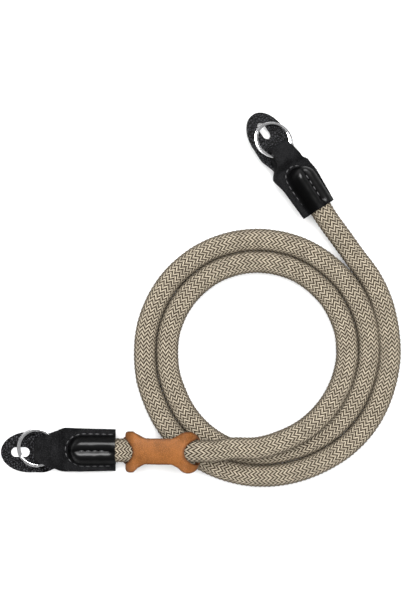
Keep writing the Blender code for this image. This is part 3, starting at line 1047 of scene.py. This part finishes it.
class STRAP_OT_rings(bpy.types.Operator):
    """Wind the split rings"""

    bl_idname = "strap.rings"
    bl_label = "Split rings"

    def execute(self, context):
        sizes = context.scene.strap_ring
        material, shader, n = surface("polished_steel", 0.18, 1.0)
        scuffs = n.noise(n.add("ShaderNodeTexCoord").outputs["Object"], 900.0, 3.0)
        dark = tuple(c * 0.86 for c in sizes.steel)
        n.join(n.blend(scuffs, (*dark, 1.0), (*sizes.steel, 1.0)), shader.inputs["Base Color"])
        n.join(n.spread(scuffs, 0.3, 0.7, 0.12, 0.26), shader.inputs["Roughness"])
        for name, end in ENDS.items():
            bm = bmesh.new()
            bmesh.ops.create_grid(bm, x_segments=1, y_segments=1, size=0.5)
            middle = (sizes.diameter - sizes.wire_width) / 2
            stand = Matrix.Rotation(math.radians(90), 4, "X")
            size = Matrix.Diagonal((sizes.wire_width, sizes.wire_height, 1.0, 1.0))
            place = Matrix.Translation((middle, 0.0, sizes.wire_height / 2))
            bmesh.ops.transform(bm, matrix=place @ stand @ size, verts=bm.verts)
            bmesh.ops.bevel(
                bm,
                geom=bm.verts[:],
                offset=sizes.wire_round,
                segments=3,
                profile=0.5,
                affect="VERTICES",
                material=-1,
            )
            step = math.radians(RING_STEP_DEGREES)
            turned = math.radians(end["ring_turn"])
            beside = Vector((math.cos(turned), -math.sin(turned), 0.0)) * sizes.beside
            climb = beside + Vector((0.0, 0.0, sizes.wire_height + sizes.turn_gap))
            # The first turn, the step up to the second, and the second turn
            last = bm.faces[:] + bm.edges[:] + bm.verts[:]
            for angle, steps, rise, centre in (
                (2 * math.pi - step, 90, Vector(), Vector()),
                (step, 10, climb / 10, Vector()),
                (2 * math.pi - step, 90, Vector(), beside),
            ):
                spun = bmesh.ops.spin(
                    bm, geom=last, cent=centre, axis=(0, 0, 1), dvec=rise, angle=angle, steps=steps
                )
                last = spun["geom_last"]
            bmesh.ops.recalc_face_normals(bm, faces=bm.faces)
            tilt = math.radians(sizes.tilt)
            low = (PAD_THICKNESS + PAD_GAP) * MM
            height = low + math.sin(tilt) * sizes.diameter / 2
            x, y = end["ring_at"]
            lean = Matrix.Rotation(-tilt, 4, "Y") @ Matrix.Rotation(turned, 4, "Z")
            move = end_matrix(end) @ Matrix.Scale(1 / MM, 4)
            lay = Matrix.Translation((x * MM, y * MM, height))
            bmesh.ops.transform(bm, matrix=move @ lay @ lean, verts=bm.verts)
            add_piece(name + "_split_ring", bm, material, name + "_ring")
        return {"FINISHED"}


# Slider

def slider_half_width(u, sizes):
    """Half the slider's width at a place along its flat leather."""
    share = abs(u) / SLIDER_HALF_LENGTH
    waist, wide = sizes.waist / MM, sizes.width / MM
    if share < SLIDER_ROUND_AT:
        part = through(SLIDER_EDGE, share)[0]
        return (waist + (wide - waist) * part) / 2
    widest = (waist + (wide - waist) * SLIDER_ROUND_SHARE) / 2
    past = (share - SLIDER_ROUND_AT) / (1 - SLIDER_ROUND_AT)
    return widest * math.sqrt(max(0.0, 1 - past**2))


def slider_place(u, y, sizes):
    """Where a point of the flat leather lies once the rope is threaded through its two holes."""
    left, right, height = through(SLIDER_SIDE, abs(u))
    x = SLIDER_CENTRE_X + (right if u > 0 else -left)
    sag = sizes.arch / MM * min(1.0, abs(y) / (sizes.waist / MM / 2)) ** 2
    arch = sag * (1 - ease(abs(u), *SLIDER_BENDS))
    line = [(px / MM, py / MM, pz / MM) for px, py, pz in LEAD_IN]
    middle, rope = through(line, x)
    middle += SLIDER_LOBE_SHIFT * ease(abs(u), *SLIDER_BENDS)
    return Vector((x, middle + y, rope + height - arch))


class STRAP_OT_slider(bpy.types.Operator):
    """Make the tan leather slider"""

    bl_idname = "strap.slider"
    bl_label = "Slider"

    def execute(self, context):
        sizes = context.scene.strap_slider
        count = 72
        stations = [-SLIDER_HALF_LENGTH * math.cos(math.pi * i / count) for i in range(count + 1)]
        upper = [(u, slider_half_width(u, sizes)) for u in stations]
        lower = [(u, -slider_half_width(u, sizes)) for u in reversed(stations[1:-1])]
        outlines = [upper + lower]
        reach = sizes.hole_length / MM / 2
        half = sizes.hole_width / MM / 2
        for side in (-1, 1):
            hole = []
            for i in range(40):
                turn = 2 * math.pi * i / 40
                hole.append((side * SLIDER_HOLE_AT + reach * math.cos(turn), half * math.sin(turn)))
            outlines.append(hole)
        bm = outline_mesh(outlines, 0.0)
        # Cut into a grid, so that the flat leather can bend
        cuts = [(SLIDER_HALF_LENGTH * i / 50, (1, 0, 0)) for i in range(-49, 50)]
        cuts += [(i * 0.8 - 9.6, (0, 1, 0)) for i in range(1, 24)]
        for at, normal in cuts:
            geometry = bm.verts[:] + bm.edges[:] + bm.faces[:]
            spot = Vector(normal) * at * MM
            bmesh.ops.bisect_plane(bm, geom=geometry, dist=MERGE, plane_co=spot, plane_no=normal)
        burnish_and_shade = bm.verts.layers.float.new("burnish_and_shade")
        for vert in bm.verts:
            u, y = vert.co.x / MM, vert.co.y / MM
            rim = slider_half_width(u, sizes) - abs(y)
            hole = math.hypot((abs(u) - SLIDER_HOLE_AT) / reach, y / half) * half - half
            edge = 1.0 - ease(min(rim, abs(hole)), 0.1, 1.1)
            # Burnished rims, and painted shade with some burnish on the lobes
            vert[burnish_and_shade] = max(edge, 0.35 * ease(abs(u), 10.0, 16.0))
            vert.co = slider_place(u, y, sizes) * MM
        bmesh.ops.recalc_face_normals(bm, faces=bm.faces)
        material, shader, n, shade = leather(
            "tan_slider_leather",
            sizes.tan,
            roughness=0.5,
            gloss=0.15,
            pebbles=1500.0,
            depth=0.0001,
            contrast=0.3,
            pebble_shading=0.35,
        )
        # Its rims are burnished darker, and its lobes, which bend down away from the light, are darkened as
        # painted shade with some burnish
        mark = n.add("ShaderNodeAttribute", attribute_name="burnish_and_shade").outputs["Fac"]
        darkened = n.blend(n.math("MULTIPLY", mark, 0.75), shade, (*sizes.edge, 1.0))
        n.join(darkened, shader.inputs["Base Color"])
        piece = add_piece("slider_leather", bm, material, "slider")
        wall(piece, sizes.thickness, CUT_EDGE)
        return {"FINISHED"}


# Stage

class STRAP_OT_stage(bpy.types.Operator):
    """Lay the floor and set the lights and the camera"""

    bl_idname = "strap.stage"
    bl_label = "Stage"

    def execute(self, context):
        sizes = context.scene.strap_stage
        bm = bmesh.new()
        bmesh.ops.create_grid(bm, x_segments=1, y_segments=1, size=FLOOR_HALF)
        mesh = bpy.data.meshes.new("floor")
        bm.to_mesh(mesh)
        bm.free()
        floor = bpy.data.objects.new("floor", mesh)
        material, shader, _ = surface("white_floor", 0.9)
        shader.inputs["Base Color"].default_value = (0.93, 0.93, 0.93, 1.0)
        shader.inputs["Specular IOR Level"].default_value = 0.1
        mesh.materials.append(material)
        context.scene.collection.objects.link(floor)
        # The softbox lights the strap, and the card is only seen in its shiny parts
        for name, power, size, place in (
            ("softbox", sizes.softbox, SOFTBOX_WIDTH, SOFTBOX_PLACE),
            ("shine_card", sizes.shine, CARD_WIDTH, CARD_PLACE),
        ):
            lamp = bpy.data.lights.new(name, "AREA")
            lamp.energy = power
            lamp.shape = "DISK"
            lamp.size = size
            made = bpy.data.objects.new(name, lamp)
            made.location = place
            made.rotation_euler = (-Vector(place)).to_track_quat("-Z", "Y").to_euler()
            made.visible_diffuse = name == "softbox"
            made.visible_glossy = name != "softbox"
            context.scene.collection.objects.link(made)
        world = bpy.data.worlds.new("studio")
        world.use_nodes = True
        sky = world.node_tree.nodes["Background"]
        sky.inputs["Color"].default_value = (1.0, 1.0, 1.0, 1.0)
        sky.inputs["Strength"].default_value = sizes.room
        context.scene.world = world
        context.scene.view_settings.view_transform = "Standard"
        camera = bpy.data.cameras.new("camera")
        camera.lens = sizes.lens
        camera.sensor_width = 36.0
        eye = bpy.data.objects.new("camera", camera)
        eye.location = (CAMERA_X, CAMERA_Y, sizes.camera_height)
        context.scene.collection.objects.link(eye)
        context.scene.camera = eye
        return {"FINISHED"}


class STRAP_PT_panel(bpy.types.Panel):
    """Makes the strap, piece by piece"""

    bl_idname = "STRAP_PT_panel"
    bl_label = "Neck strap"
    bl_space_type = "VIEW_3D"
    bl_region_type = "UI"
    bl_category = "Strap"

    def draw(self, context):
        for operator in OPERATORS:
            self.layout.operator(operator.bl_idname)
        for key, group in GROUPS.items():
            box = self.layout.box()
            for name in group.__annotations__:
                box.prop(getattr(context.scene, key), name)


OPERATORS = (
    STRAP_OT_stage,
    STRAP_OT_rope,
    STRAP_OT_ends,
    STRAP_OT_stitches,
    STRAP_OT_pads,
    STRAP_OT_rings,
    STRAP_OT_slider,
)
GROUPS = {
    "strap_rope": RopeSizes,
    "strap_leather": LeatherSizes,
    "strap_ring": RingSizes,
    "strap_slider": SliderSizes,
    "strap_stage": StageSizes,
}


def register():
    for group in GROUPS.values():
        bpy.utils.register_class(group)
    for operator in OPERATORS:
        bpy.utils.register_class(operator)
    bpy.utils.register_class(STRAP_PT_panel)
    for key, group in GROUPS.items():
        setattr(bpy.types.Scene, key, PointerProperty(type=group))


def unregister():
    for key in GROUPS:
        delattr(bpy.types.Scene, key)
    bpy.utils.unregister_class(STRAP_PT_panel)
    for operator in reversed(OPERATORS):
        bpy.utils.unregister_class(operator)
    for group in reversed(GROUPS.values()):
        bpy.utils.unregister_class(group)


def main():
    register()
    bpy.ops.strap.stage()
    bpy.ops.strap.rope()
    bpy.ops.strap.ends()
    bpy.ops.strap.stitches()
    bpy.ops.strap.pads()
    bpy.ops.strap.rings()
    bpy.ops.strap.slider()


if __name__ == "__main__":
    main()
